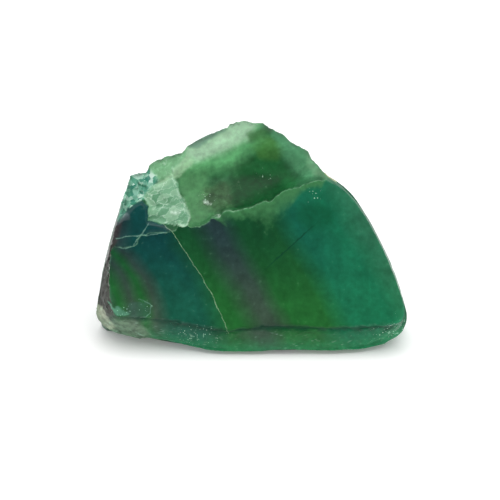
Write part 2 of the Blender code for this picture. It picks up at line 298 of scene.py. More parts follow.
# %% Outlines of the patches
OUTLINES = {  # across, up
    "plate": [
        (-16.0, 35.4), (-18.6, 33.6), (-20.0, 33.2), (-21.6, 32.0), (-22.0, 30.6), (-20.6, 29.4),
        (-20.9, 27.9), (-20.6, 26.2), (-18.4, 26.0), (-14.8, 25.3), (-13.1, 25.3), (-12.4, 26.7),
        (-12.8, 28.0), (-13.3, 29.6), (-14.2, 31.2), (-15.2, 34.0),
    ],
    "lower_plate": [
        (-20.6, 28.6), (-17.4, 29.2), (-15.2, 28.8), (-12.9, 28.6), (-12.4, 26.7), (-13.1, 25.3),
        (-14.8, 25.3), (-18.4, 26.0), (-20.6, 26.2),
    ],
    "wedge": [
        (-21.0, 37.6), (-18.4, 40.0), (-13.6, 40.8), (-13.4, 38.0), (-15.0, 36.2), (-17.2, 34.8),
        (-18.8, 34.0), (-20.6, 35.4),
    ],
    "crumbs": [
        (-25.4, 37.0), (-21.6, 37.2), (-19.6, 35.2), (-19.0, 33.8), (-21.0, 32.2), (-21.6, 30.6),
        (-23.6, 29.6), (-25.2, 27.6), (-26.6, 26.2), (-29.0, 26.2), (-27.6, 32.0),
    ],
    "dark_facet": [
        (-29.6, 26.4), (-26.4, 26.6), (-23.8, 29.4), (-22.0, 30.4), (-20.6, 29.2), (-20.6, 26.2),
        (-17.3, 25.6), (-15.6, 24.6), (-15.6, 22.0), (-29.6, 18.0),
    ],
    "milk": [
        (-13.0, 36.6), (-15.0, 41.4), (-9.0, 44.0), (-5.0, 47.6), (2.8, 48.6), (1.6, 43.6),
        (-0.4, 39.8), (-3.4, 37.0), (-8.0, 36.2),
    ],
    "milk_heart": [
        (-13.2, 39.6), (-13.6, 41.2), (-10.4, 42.0), (-6.8, 43.8), (-4.4, 46.4), (-2.4, 47.6),
        (0.8, 46.8), (-0.4, 42.8), (-3.4, 41.4), (-8.0, 39.2), (-11.4, 38.0),
    ],
    "grey_crest": [(-13.6, 41.2), (-10.6, 43.6), (-5.6, 46.0), (-5.4, 44.6), (-8.2, 42.9), (-11.0, 41.4)],
    "shoulder": [(11.0, 40.8), (13.0, 38.6), (16.4, 35.8), (15.2, 34.4), (12.4, 35.4), (10.6, 38.0)],
    "left_dish": [
        (-16.0, 36.6), (-12.4, 38.6), (-9.0, 37.6), (-8.6, 33.6), (-10.0, 29.6), (-7.6, 27.4),
        (-12.4, 25.0), (-13.8, 29.4), (-14.8, 33.4),
    ],
    "shade": [(9.5, 29.2), (13.0, 29.8), (16.0, 28.4), (16.0, 25.4), (12.0, 24.4), (9.0, 26.4)],
    "notch": [(-1.0, 43.8), (2.0, 45.2), (3.4, 44.4), (1.2, 42.6), (-0.4, 42.2)],
    "brown": [(-10.0, 32.6), (-5.4, 34.0), (-2.6, 32.0), (-3.6, 29.2), (-7.6, 28.0), (-10.2, 29.6)],
    "ridge": [
        (-20.2, 32.6), (-17.6, 33.4), (-15.4, 35.0), (-13.0, 36.6), (-11.8, 38.0), (-13.2, 39.8),
        (-14.4, 38.0), (-16.0, 36.2), (-17.6, 34.8), (-19.8, 33.8),
    ],
    "grey_chip": [
        (-26.2, 27.8), (-24.6, 27.6), (-24.4, 26.8), (-25.8, 25.8), (-27.2, 25.2), (-26.8, 26.8),
    ],
    "dark_heart": [
        (-2.4, 38.0), (1.0, 40.8), (4.0, 40.4), (6.8, 37.6), (8.8, 34.6), (7.6, 31.4),
        (4.0, 29.4), (0.0, 28.0), (-3.2, 28.2), (-3.8, 33.6),
    ],
    "deep_heart": [
        (-4.0, 35.0), (0.0, 36.0), (5.4, 35.0), (6.8, 32.4), (4.4, 29.4), (0.0, 27.8),
        (-3.8, 28.4),
    ],
    "olive": [(0.6, 43.6), (4.0, 43.6), (6.4, 40.6), (5.0, 38.6), (1.6, 39.0), (-0.6, 41.0)],
    "pale_rim": [
        (3.4, 45.6), (7.0, 44.8), (12.4, 41.2), (14.2, 38.0), (12.0, 34.8), (9.4, 36.4),
        (7.0, 38.2), (5.0, 41.8),
    ],
    "chip_hollow": [
        (-25.0, 9.6), (-23.0, 10.3), (-21.0, 10.0), (-20.3, 9.0), (-20.7, 7.4), (-21.4, 6.8),
        (-24.6, 7.2),
    ],
    "grey_foot": [
        (-32.0, 6.4), (-27.0, 6.6), (-23.4, 6.0), (-21.4, 4.4), (-20.6, 1.6), (-24.0, 0.6),
        (-32.0, 2.0),
    ],
    "corner": [(-32.0, 10.0), (-30.2, 9.0), (-28.6, 6.6), (-27.8, 4.6), (-29.4, 3.4), (-32.6, 5.0)],
    "corner_highlight": [(14.9, 36.2), (16.2, 35.4), (17.4, 34.5), (16.9, 34.0), (15.4, 35.0), (14.6, 35.8)],
    "teal_chip": [
        (-29.0, 10.2), (-28.4, 9.2), (-27.6, 8.2), (-26.8, 7.3), (-25.8, 7.2), (-24.8, 7.7),
        (-25.1, 8.2), (-26.1, 8.3), (-26.5, 9.2), (-27.0, 9.4), (-27.4, 8.6), (-28.2, 9.7),
    ],
}  # fmt: skip
# Glints: small painted highlights on the break.
GLINTS = [
    [(-9.9, 30.4), (-8.9, 30.2), (-8.1, 29.6), (-8.7, 29.5), (-9.6, 29.9)],
    [(-16.4, 28.2), (-15.4, 28.4), (-14.2, 27.9), (-14.6, 27.5), (-15.6, 27.5), (-16.4, 27.8)],
    [(-7.9, 27.3), (-7.1, 27.5), (-5.7, 27.2), (-6.6, 27.0)],
]


def inside(outline, across, up):
    """Distance inside a closed outline, below 0 outside it: the nearest distance to its edges, with the
    sign from how many edges a level line to the right crosses."""
    start = np.array(outline)
    end = np.roll(start, -1, axis=0)
    crossings = np.zeros(across.shape, int)
    for (x0, y0), (x1, y1) in zip(start, end):
        if y0 != y1:
            crossings += ((y0 > up) != (y1 > up)) & (across < x0 + (up - y0) * (x1 - x0) / (y1 - y0))
    nearest = beside_line(outline + outline[:1], across, up)
    return np.where(crossings % 2 == 1, nearest, -nearest)


def patch(outline, across, up, soft):
    """1 well inside an outline and 0 outside, eased over soft millimetres."""
    return smooth_step(inside(outline, across, up) / soft + 0.5)


CHIP_LINES = [
    [(-20.7, 25.9), (-21.1, 24.9), (-22.2, 23.4), (-23.1, 22.4), (-23.7, 21.1), (-26.1, 20.6)],
    [(-27.2, 22.6), (-25.0, 23.2), (-23.3, 23.3), (-19.8, 23.5), (-17.2, 23.9)],
    [(-22.6, 10.4), (-21.0, 10.1), (-20.2, 9.2), (-20.5, 7.8), (-21.2, 6.9), (-22.6, 6.8)],
]
GLITTER = [  # across, up, half width, half height
    (-11.0, 3.4, 6.0, 2.6), (27.0, 3.6, 4.6, 2.0), (29.6, 5.6, 1.8, 2.0), (12.5, 31.2, 2.2, 1.8),
    (-9.4, 30.8, 2.4, 1.4), (2.6, 35.6, 1.6, 1.4), (-22.0, 34.4, 2.4, 2.0), (-25.8, 8.2, 3.4, 2.0),
    (-20.8, 8.4, 1.4, 2.2), (3.2, 35.2, 1.4, 0.4),
]  # fmt: skip


def beside_line(line, across, up):
    """The nearest distance to an open line's segments."""
    nearest = np.full(across.shape, np.inf)
    for (x0, y0), (x1, y1) in zip(line[:-1], line[1:]):
        share = ((across - x0) * (x1 - x0) + (up - y0) * (y1 - y0)) / ((x1 - x0) ** 2 + (y1 - y0) ** 2)
        share = np.clip(share, 0, 1)
        nearest = np.minimum(nearest, np.hypot(across - x0 - share * (x1 - x0), up - y0 - share * (y1 - y0)))
    return nearest


middle_share = patch(OUTLINES["plate"], np.array([-17.0]), np.array([30.0]), 0.4)
print("the plate covers", middle_share, "of its own middle")

# %% [markdown]
# ## The front
# Between the border and the rim the surface goes in behind the face. Along the top it is the break:
# a small ledge, a dish, faint ribs like those in a broken shell, the plate and the milky fold. At
# the sides it just turns the edge, and along the bottom it is a narrow band that meets the ground.

# %% The front's depth
TURN = {"left": 0.3, "right": 0.5, "bottom": 0.3}  # 0 is a straight band, 1 a round one
LEDGE_DROP = 1.3
BOWL_DEPTH = 3.6
BOWL_ACROSS = 4.0
BOWL_REACH = 13.0
BOWL_BAND = 12.0
PLATE_HEIGHT = 0.8
LOWER_PLATE_HEIGHT = 0.3
WEDGE_HEIGHT = 0.35
FOLD_HEIGHT = 0.9
RIB_HEIGHT = 0.05
RIB_PITCH = 5.5
RIB_SLANT = 0.3
BROKEN_FROM = 22.0
FACET_FLUSH = 0.85  # the dark facet lies almost level with the flat face

front_steps = np.concatenate([[0.0, 0.012, 0.026, 0.045], np.linspace(0.07, 1.0, 56)])


def break_depth(across, up, step, band):
    """Ledge + dish - plate - milky fold + ribs, all in behind the face. The dish is 6.75 s (1 - s)^2
    along the band, times a bell across it; the rest are eased patches and a sine."""
    ledge = LEDGE_DROP * smooth_step(step / 0.05) * (1 - step)
    bell = np.exp(-(((across - BOWL_ACROSS) / BOWL_REACH) ** 2)) * smooth_step(band / BOWL_BAND)
    dish = BOWL_DEPTH * bell * 6.75 * step * (1 - step) ** 2
    arch = np.sin(math.pi * step)
    plate = PLATE_HEIGHT * patch(OUTLINES["plate"], across, up, 0.8)
    plate = plate + LOWER_PLATE_HEIGHT * patch(OUTLINES["lower_plate"], across, up, 0.8)
    wedge = WEDGE_HEIGHT * patch(OUTLINES["wedge"], across, up, 1.2)
    fold = FOLD_HEIGHT * patch(OUTLINES["milk"], across, up, 3.5)
    ribs = RIB_HEIGHT * np.sin(2 * math.pi * (up + RIB_SLANT * across) / RIB_PITCH)
    return ledge + dish + (ribs - plate - wedge - fold) * arch


def front_rows():
    """Rows from border to rim. travel and sink blend a straight band with a quarter turn by the
    side's share of turn; the break's depth is added where the top is broken."""
    step = front_steps[:, None]
    turn = by_side(TURN)
    travel = (1 - turn) * step + turn * np.sin(step * math.pi / 2)
    sink = (1 - turn) * step + turn * (1 - np.cos(step * math.pi / 2))
    start = border + (calmed(border, 20) - border) * smooth_step(step / 0.12)[..., None]
    end = rim + (calmed(rim, 20) - rim) * smooth_step((1 - step) / 0.12)[..., None]
    across = start[..., 0] + (end[..., 0] - start[..., 0]) * travel
    up = start[..., 1] + (end[..., 1] - start[..., 1]) * travel
    band = np.linalg.norm(rim[:, :2] - border, axis=1)
    broken = smooth_step((up - BROKEN_FROM) / 4.0) * smooth_step(1 - turn / TURN["left"])
    behind = end[..., 2] * sink + broken * break_depth(across, up, step, band)
    facet = patch(OUTLINES["dark_facet"], across, up, 1.6) * smooth_step((1 - step) / 0.15)
    return across, up, behind * (1 - FACET_FLUSH * facet)


front_across, front_up, front_behind = front_rows()
print("the break goes in", round(float(front_behind.max()), 1), "mm behind the face at most")

# %% [markdown]
# ## The flat face
# Rings shrink from the border to one point. They lie closer together near the border, where the
# face has its chips and its thin, lighter lip. The border's nicks fade on the first rings, so no
# crease runs from a nick to the middle.

# %% Rings of the flat face
FACE_MIDDLE = np.array([2.0, 16.0])
face_shares = 1 - (1 - np.linspace(0.0, 1.0, 20)[1:-1]) ** 1.9
inward = smooth_step((1 - face_shares) / 0.06)[:, None, None]
smoother = border + (calmed(border, 24) - border) * inward
face_rings = FACE_MIDDLE + (smoother - FACE_MIDDLE) * face_shares[:, None, None]
print(len(face_rings), "rings, the outermost at", face_shares[-1].round(4), "of the border's size")

# %% [markdown]
# ## The hidden sides
# Fluorite splits along the faces of an octahedron, and the flat face is one of them. The other
# directions follow from it: their planes lean to it by 70.5 or 109.5 degrees. A skirt from the rim
# to the foot is pulled in to those planes, with steps where thin plates came away, so the back
# is made of the same flat cleavages as the real stone would have.

# %% Planes and steps
OCTAHEDRAL = {
    "right": (math.sqrt(2 / 3), math.sqrt(2) / 3, 1 / 3),
    "left": (-math.sqrt(2 / 3), math.sqrt(2) / 3, 1 / 3),
    "back": (0.0, 0.0, 1.0),
    "crown": (0.0, math.sqrt(8) / 3, -1 / 3),
}
FRACTURED = {"left": (-0.915, 0.229, 0.333), "back": (0.05, 0.57, 0.82)}
FAR = 12.0  # a plane moved this far out cuts nothing
PLANES = [  # direction, distance, steps: by how much the plane lies further in past other planes
    (OCTAHEDRAL["right"], 33.1, [(1.5, [("back", 10.5)]), (2.0, [("back", 12.5), ("crown", 15.0)])]),
    (OCTAHEDRAL["back"], 23.2, [(2.4, [("right", 14.0)])]),
    (FRACTURED["left"], 33.5, [(1.8, [("back", 13.0)])]),
    (FRACTURED["back"], 34.5, []),
    (OCTAHEDRAL["left"], 33.0 + FAR, [(FAR, [("back", 11.5)])]),
]
STEP_WIDTH = 1.5
ROUNDING = 70  # the higher, the sharper the edges between planes
AXIS_BACK = 18.0
skirt_steps = np.linspace(0.0, 1.0, 31) ** 1.25
foot_shares = (0.8, 0.5, 0.2)


def past(direction, distance, points):
    """1 past a plane and 0 short of it, eased over the width of a step."""
    return smooth_step((along_face(direction, points) - distance) / STEP_WIDTH + 0.5)


def pulled_in(points, uneven):
    """Points moved level towards an upright axis until no plane is passed. Each plane allows a share
    (d - n.c) / (n.(p - c)) of the way from the axis c to the point p, and the shares are joined in a
    soft minimum, the power mean with a large negative power. Steps are worked out on a first try."""
    centre = points * np.array([0.0, 0.0, 1.0]) + np.array([0.0, AXIS_BACK, 0.0])
    spoke = points - centre
    tried = points
    for attempt in range(2):
        total = np.ones(points.shape[:-1])
        for direction, distance, steps in PLANES:
            allowed = distance + uneven
            for drop, beyond in steps:
                inside_step = [past(OCTAHEDRAL[name], at, tried) for name, at in beyond]
                allowed = allowed - drop * np.prod(inside_step, axis=0)
            reach = along_face(direction, points) - along_face(direction, centre)
            room = np.maximum(allowed - along_face(direction, centre), 0.5)
            total = total + (np.maximum(reach, 1e-3) / room) ** ROUNDING
        tried = centre + spoke * (total ** (-1 / ROUNDING))[..., None]
    return tried


def skirt_rows():
    """Rows from the rim to the foot: a straight run that loses the rim's nicks, then pulled in."""
    top = on_ground(rim[:, 0], rim[:, 1], rim[:, 2])
    calm = calmed(top, 28)
    bottom = np.column_stack([foot, np.zeros(columns)])
    step = skirt_steps[:, None, None]
    run = top + (calm - top) * smooth_step(step / 0.2) * (1 - step) + (bottom - top) * step
    uneven = 0.22 * swells(run, 7.0, 31, 2) * smooth_step(step[..., 0] / 0.1)
    pulled = pulled_in(run, uneven)
    return run + (pulled - run) * smooth_step(step / 0.06)


skirt = skirt_rows()
print("the foot is", np.ptp(skirt[-1][:, 0]).round(1), "by", np.ptp(skirt[-1][:, 1]).round(1), "mm")

# %% [markdown]
# ## One closed surface
# The rows are stacked in order: a point in the middle of the face, its rings, the front, the skirt,
# rings of the foot and a last point. Everything that follows works on this one array of rows by
# columns. The front's share of each row tells the front from the hidden sides.

# %% Stacking the rows
face_rows = on_ground(face_rings[..., 0], face_rings[..., 1], np.zeros(face_rings.shape[:2]))
front = on_ground(front_across, front_up, front_behind)
foot_middle = skirt[-1].mean(axis=0)
foot_rows = foot_middle + (skirt[-1] - foot_middle) * np.array(foot_shares)[:, None, None]
rows = np.concatenate([face_rows, front, skirt[1:], foot_rows])
first_front = len(face_rows)
first_skirt = first_front + len(front)
first_foot = first_skirt + len(skirt) - 1
row_number = np.arange(len(rows))[:, None]
print(len(rows), "rows of", columns, "columns,", 2 * len(rows) * columns, "triangles")

# %% [markdown]
# Places on the flat face, for every point of the surface, also those behind it: they carry the
# patches and the colour bands through the stone.

# %% Across, up and behind for every point
lean_back, lean_up = math.cos(FACE_LEAN), math.sin(FACE_LEAN)


def face_places(points):
    """The inverse of on_ground: up = back * sin(lean) + height * cos(lean), behind = back * cos(lean)
    - height * sin(lean), with the height counted from the face's lower line."""
    height = points[..., 2] - FACE_RISE
    up = points[..., 1] * lean_up + height * lean_back
    behind = points[..., 1] * lean_back - height * lean_up
    return points[..., 0], up, behind


across, up, behind = face_places(rows)
is_face = np.broadcast_to(row_number < first_front, rows.shape[:2]).astype(float)
is_front = smooth_step((first_skirt + 3 - row_number) / 3.0) * np.ones(columns)
warp = np.stack([swells(rows, 1.7, seed, 4) for seed in (51, 52)]) * 0.35
patch_across, patch_up = across + warp[0], up + warp[1]
print("up the face from", up.min().round(1), "to", up.max().round(1), "mm")

# %% [markdown]
# Now each patch's share at every point. The flat face has few of them: a lighter lip under the broken
# edge, a darker spot below it and two small chips near the foot. Distances from the border, in
# millimetres, place the lip, the pale broken edge and the crease above the foot's band, which gets a
# painted dark shade line.

# %% Shares of the patches
off_face = (1 - is_face) * is_front
dark_facet = patch(OUTLINES["dark_facet"], patch_across, patch_up, 0.35)
broken = off_face * by_side({"left": 0.3, "top": 1.0}) * (1 - dark_facet)
low_band = off_face * by_side({"bottom": 1.0})
left_band = off_face * by_side({"left": 1.0})
right_band = off_face * by_side({"right": 1.0})
hidden = 1 - is_front
shares = {"broken": broken, "low_band": low_band, "left_band": left_band, "right_band": right_band}
REGIONS = [  # where the patches lie, and the softness of their edges in millimetres
    (broken, {"plate": 0.35, "lower_plate": 0.5, "wedge": 1.2, "milk": 6.5, "milk_heart": 3.6}),
    (broken, {"grey_crest": 1.6, "ridge": 1.3, "shoulder": 1.8, "left_dish": 4.0, "brown": 4.0}),
    (broken, {"notch": 2.2, "dark_heart": 4.0, "deep_heart": 3.6, "olive": 3.0, "pale_rim": 3.4}),
    (np.maximum(broken, 0.8 * left_band), {"crumbs": 1.0}),
    (np.maximum(left_band, low_band), {"corner": 0.9}),
    (off_face, {"grey_chip": 0.5}),
    (is_front, {"teal_chip": 0.4}),
    (is_face, {"shade": 3.4, "chip_hollow": 0.7}),
    (low_band, {"grey_foot": 3.6}),
]
for region, edges in REGIONS:
    for name, soft in edges.items():
        shares[name] = patch(OUTLINES[name], patch_across, patch_up, soft) * region
# A painted highlight: a small peach spot of light at the thin top right corner.
shares["corner_highlight"] = patch(OUTLINES["corner_highlight"], across, up, 0.6) * off_face
shares["glint"] = sum(patch(outline, across, up, 0.3) for outline in GLINTS) * broken
# Painted light: the foot's band is lighter towards its lower edge, as if lit through from the glowing paper.
shares["painted_foot_light"] = low_band * np.clip((row_number - first_front) / len(front), 0, 1) ** 1.5
rugged = [shares["corner"], shares["grey_foot"], 0.8 * left_band, 0.7 * shares["brown"]]
shares["rugged"] = np.max(rugged, axis=0)
from_border = np.hypot(across - border[:, 0], up - border[:, 1])
top_only = by_side({"top": 1.0})
along_lip = border[:, 0]
widest = smooth_step((along_lip + 2.0) / 7.0) * smooth_step((12.0 - along_lip) / 4.0)
lip_width = top_only * smooth_step((along_lip + 8.5) / 2.0) * (1.7 + 3.6 * widest)
lip_left = 1 - (from_border + 1.6 * warp[0]) / np.maximum(1.45 * lip_width, 0.1)
shares["lip"] = np.clip(lip_left, 0.0, 1.0) * is_face * smooth_step(lip_width)
near_front = row_number < first_skirt
crease_reach = np.where(row_number < first_front, 0.35, 0.7)
crease = np.exp(-(((from_border + 1.2 * warp[0]) / crease_reach) ** 2))
shares["crease"] = crease * near_front * by_side({"bottom": 1.0})
broken_edge = np.exp(-((from_border / 0.13) ** 2))
shares["broken_edge"] = broken_edge * near_front * by_side({"left": 0.3, "top": 1.0})
# Painted shade: a dark line just inside the rim, where the stone turns away.
rim_shade = np.exp(-(((row_number - first_skirt + 1.5) / 2.2) ** 2))
shares["rim_shade"] = rim_shade * by_side({"left": 0.8, "top": 1.0, "right": 1.0})
shares["glitter"] = near_front * sum(
    np.exp(-(((across - x) / wide) ** 2) - ((up - y) / high) ** 2) for x, y, wide, high in GLITTER
)
print({name: round(float((share > 0.5).mean()), 3) for name, share in shares.items()})

# %% [markdown]
# ## Fine relief
# The surface moves in and out along its own normals, which come from the differences between
# neighbouring rows and columns. The crumbled corner, the plate and the foot's band are made of small
# chips, the dish has faint ripples, and the flat face is left as it is. So is the foot, because the
# stone stands on it.


# %% Moving along the normals
def normals_of(points):
    """Unit cross products of the run along a row and the run across the rows, pointing outwards."""
    along_row = np.roll(points, -1, axis=1) - np.roll(points, 1, axis=1)
    across_rows = np.gradient(points, axis=0)
    square = np.cross(along_row, across_rows)
    return square / np.maximum(np.linalg.norm(square, axis=-1, keepdims=True), 1e-9)


fine_chips = chips(rows, 1.1, 61)
coarse_chips = chips(rows, 2.6, 71)
ripples = swells(rows, 2.4, 81, 4)
grit = swells(rows, 0.45, 91, 2)
relief = (
    shares["crumbs"] * (0.30 * coarse_chips + 0.22 * fine_chips)
    + shares["plate"] * (0.14 * coarse_chips + 0.07 * fine_chips)
    + shares["wedge"] * 0.18 * coarse_chips
    + broken * (0.05 * ripples + 0.012 * grit)
    + shares["brown"] * 0.10 * coarse_chips
    + low_band * (0.13 * coarse_chips + 0.10 * fine_chips + 0.03 * grit)
    + left_band * (0.22 * coarse_chips + 0.14 * fine_chips)
    + hidden * (0.07 * coarse_chips + 0.05 * ripples)
    - shares["crease"] * 0.18
)
relief = relief * smooth_step(rows[..., 2] / 1.2) * (row_number < first_foot)
rows = rows + normals_of(rows) * relief[..., None]
rows[..., 2] = np.maximum(rows[..., 2], 0.0)
print("relief from", relief.min().round(2), "to", relief.max().round(2), "mm")

# %% [markdown]
# A sharp edge of fluorite is always a little bruised and looks pale, and here that pale line is also
# a painted highlight. How far a point stands out from the mean of its neighbours tells where such
# edges are. The border of the flat face and the dark facet were left without either.

# %% Bruised edges, with painted highlights
neighbours = sum(np.roll(rows, shift, axis=axis) for shift in (-2, 2) for axis in (0, 1)) / 4
standing_out = ((rows - neighbours) * normals_of(rows)).sum(axis=-1)
away_from_ends = (row_number > first_front - 4) & (row_number < first_foot - 1)
near_facet = smooth_step(inside(OUTLINES["dark_facet"], patch_across, patch_up) / 1.2 + 1.0)
edges_left_plain = np.maximum(np.exp(-((from_border / 1.1) ** 2)), near_facet) * near_front
# pale ridges: partly bruising, partly a painted highlight on every edge that stands out
bruise_and_highlight = smooth_step((standing_out - 0.03 - 0.07 * hidden) / (0.09 + 0.2 * hidden)) * (1 - 0.75 * hidden)
shares["bruise_and_highlight"] = bruise_and_highlight * away_from_ends * (1 - edges_left_plain) * (1 - right_band) * (1 - shares["rim_shade"])
plate_edge = np.exp(-((inside(OUTLINES["plate"], patch_across, patch_up) / 0.22) ** 2))
plate_edge = plate_edge * smooth_step((33.0 - patch_up) / 3.0)
lower_edge = np.exp(-((inside(OUTLINES["lower_plate"], patch_across, patch_up) / 0.18) ** 2))
shares["plate_edge"] = np.maximum(plate_edge, 0.6 * lower_edge) * broken * (1 - near_facet)
print("bruised points", round(float((shares["bruise_and_highlight"] > 0.5).mean()), 3))

# %% [markdown]
# The mesh is filled from the array in one go. The shares go with it as attributes, which the
# material reads by name.

# %% The stone's mesh
points = np.concatenate([on_ground(*FACE_MIDDLE, 0.0)[None], rows.reshape(-1, 3), [foot_middle]])
first, last = 0, len(points) - 1
index = 1 + np.arange(rows.shape[0] * columns).reshape(rows.shape[0], columns)
following = np.roll(index, -1, axis=1)
quads = np.stack([index[:-1], following[:-1], following[1:], index[1:]], axis=-1).reshape(-1, 4)
start_fan = np.stack([np.full(columns, first), following[0], index[0]], axis=-1)
end_fan = np.stack([np.full(columns, last), index[-1], following[-1]], axis=-1)
stone_mesh = bpy.data.meshes.new("fluorite_stone")
stone_mesh.from_pydata(place(points).tolist(), [], quads.tolist() + start_fan.tolist() + end_fan.tolist())
stone_mesh.shade_smooth()
stone_mesh.set_sharp_from_angle(angle=math.radians(38))
for name, share in shares.items():
    flat = np.concatenate([[share[0].mean()], share.ravel(), [share[-1].mean()]])
    stone_mesh.attributes.new(name, "FLOAT", "POINT").data.foreach_set("value", flat.astype(np.float32))
stone = bpy.data.objects.new("fluorite_stone", stone_mesh)
bpy.context.scene.collection.objects.link(stone)
print(len(stone_mesh.polygons), "faces,", len(stone_mesh.attributes), "attributes")

# %% [markdown]
# ## The material
# Fluorite is calcium fluoride, glassy and of low refraction, with an index of 1.434. Impurities
# colour it in bands that follow the faces of a cube while it grows, so the bands run straight
# through the stone. Here it is cloudy: light goes in, scatters and comes out tinted. A Principled
# BSDF with some transmission, some scattering under the surface and an absorbing volume does that.
# Its colour is worked out from places in the stone, in millimetres, so it is the same from any side.

# %% Colours and nodes
fluorite = bpy.data.materials.new("green_fluorite")
fluorite.use_nodes = True
tree = fluorite.node_tree
tree.nodes.clear()


def linear(hex_colour):
    """The sRGB curve undone for each channel: c / 12.92 up to 0.04045, else ((c + 0.055) / 1.055)^2.4."""
    channels = np.array([int(hex_colour[at : at + 2], 16) for at in (0, 2, 4)]) / 255
    bright = ((channels + 0.055) / 1.055) ** 2.4
    return (*np.where(channels <= 0.04045, channels / 12.92, bright).tolist(), 1.0)


def add(kind, inputs, output=0, **settings):
    """A node of a kind with its settings and its inputs: values or other nodes' outputs, by name, by
    number or as a list in order."""
    node = tree.nodes.new("ShaderNode" + kind)
    for name, value in settings.items():
        setattr(node, name, value)
    for name, value in inputs.items() if isinstance(inputs, dict) else enumerate(inputs):
        if isinstance(value, bpy.types.NodeSocket):
            tree.links.new(value, node.inputs[name])
        else:
            node.inputs[name].default_value = value
    return node.outputs[output]


print("a half grey is", round(linear("808080")[0], 3), "in linear light")

# %% [markdown]
# The Mapping node turns Object coordinates into the same three places as before: across, behind and
# up the flat face, in millimetres. Noise bends them a little, as growth was never quite even.

# %% Places in the stone
turn = np.array([[1, 0, 0], [0, lean_back, -lean_up], [0, lean_up, lean_back]])
shift = turn @ (stone_middle - np.array([0.0, 0.0, FACE_RISE]))
coordinates = add("TexCoord", {}, "Object")
place_mm = add(
    "Mapping",
    {
        "Vector": coordinates,
        "Location": shift.tolist(),
        "Rotation": (FACE_LEAN, 0, 0),
        "Scale": (1000, 1000, 1000),
    },
)
u_mm, w_mm, v_mm = add("SeparateXYZ", [place_mm]).node.outputs
NOISES = ((0.11, 2.0, 0.55), (0.9, 5.0, 0.6), (0.28, 4.0, 0.6))  # scale, detail, roughness
slow_noise, fine_noise, cloud_noise = (
    add("TexNoise", {"Vector": place_mm, "Scale": scale, "Detail": detail, "Roughness": rough})
    for scale, detail, rough in NOISES
)
print("the material's origin is moved by", shift.round(2), "mm")

# %% [markdown]
# The bands are planes of a cube, whose trace on the flat face stands 60 degrees from the level. The
# distance along their normal picks one of six tones, or a blend of two, from a ramp. A crack along
# an octahedral plane parts the stone, and the two blocks have bands of their own; those of the left
# block are bowed. Near the surface the bands are taken straight down, as they look through the first
# few millimetres.

# %% Growth bands
ACROSS_TO_UP = 0.577
BEHIND = -0.816
SKIN = 4.0
BAND_ZERO_UP = 24.0
BAND_BEND = 2.4
FOOT_SHIFT = 3.0
BOW = 0.03
RAMP_LOW, RAMP_HIGH = -37.0, 29.0
BAND_TONES = {
    "moss_grey": "486050",
    "leaf_green": "286430",
    "grey_violet": "445044",
    "deep_teal": "1c5848",
    "sea_green": "207050",
    "pale_green": "407858",
}
LEFT_BLOCK = [
    (-28, "moss_grey"), (-26, "leaf_green"), (-23, "grey_violet"), (-21, "leaf_green"),
    (-19, "grey_violet"), (-16, "deep_teal"), (-10, "deep_teal"), (-4, "leaf_green"),
]  # fmt: skip
RIGHT_BLOCK = [
    (-13, "leaf_green"), (-8, "grey_violet"), (-6, "grey_violet"), (-2, "leaf_green"),
    (5, "leaf_green"), (10, "sea_green"), (18, "sea_green"), (25, "pale_green"),
]  # fmt: skip

deep = add("Math", [w_mm, SKIN], operation="SUBTRACT")
deep = add("Math", [deep, 0.0], operation="MAXIMUM")
deep = add("Math", [deep, BEHIND, u_mm], operation="MULTIPLY_ADD")
bend = add("Math", [slow_noise, 0.5], operation="SUBTRACT")
bent = add("Math", [bend, BAND_BEND, deep], operation="MULTIPLY_ADD")
above_zero = add("Math", [v_mm, BAND_ZERO_UP], operation="SUBTRACT")
slanted = add("Math", [above_zero, ACROSS_TO_UP, bent], operation="MULTIPLY_ADD")
share_of = {}
for name in shares:
    share_of[name] = add("Attribute", {}, "Fac", attribute_name=name)
slanted = add("Math", [share_of["low_band"], FOOT_SHIFT, slanted], operation="MULTIPLY_ADD")
height = add("MapRange", {"Value": v_mm, "From Min": 5.0, "From Max": 21.0, "To Max": 16.0})
height = add("Math", [height, 2.0], operation="POWER")
bowed = add("Math", [height, BOW, bent], operation="MULTIPLY_ADD")
blocks = []
for stops, position in ((LEFT_BLOCK, bowed), (RIGHT_BLOCK, slanted)):
    band_share = add("MapRange", {"Value": position, "From Min": RAMP_LOW, "From Max": RAMP_HIGH})
    ramp = add("ValToRGB", {"Fac": band_share})
    elements = ramp.node.color_ramp.elements
    for element, (at, tone) in zip(elements, (stops[0], stops[-1])):
        element.position = (at - RAMP_LOW) / (RAMP_HIGH - RAMP_LOW)
        element.color = linear(BAND_TONES[tone])
    for at, tone in stops[1:-1]:
        elements.new((at - RAMP_LOW) / (RAMP_HIGH - RAMP_LOW)).color = linear(BAND_TONES[tone])
    blocks.append(ramp)
print("bands from", RAMP_LOW, "to", RAMP_HIGH, "mm")

# %% [markdown]
# The pale crack is the trace of that octahedral plane, bent a little: on the face, across + 0.577 up
# is nearly constant along it. The same value tells the two blocks apart.

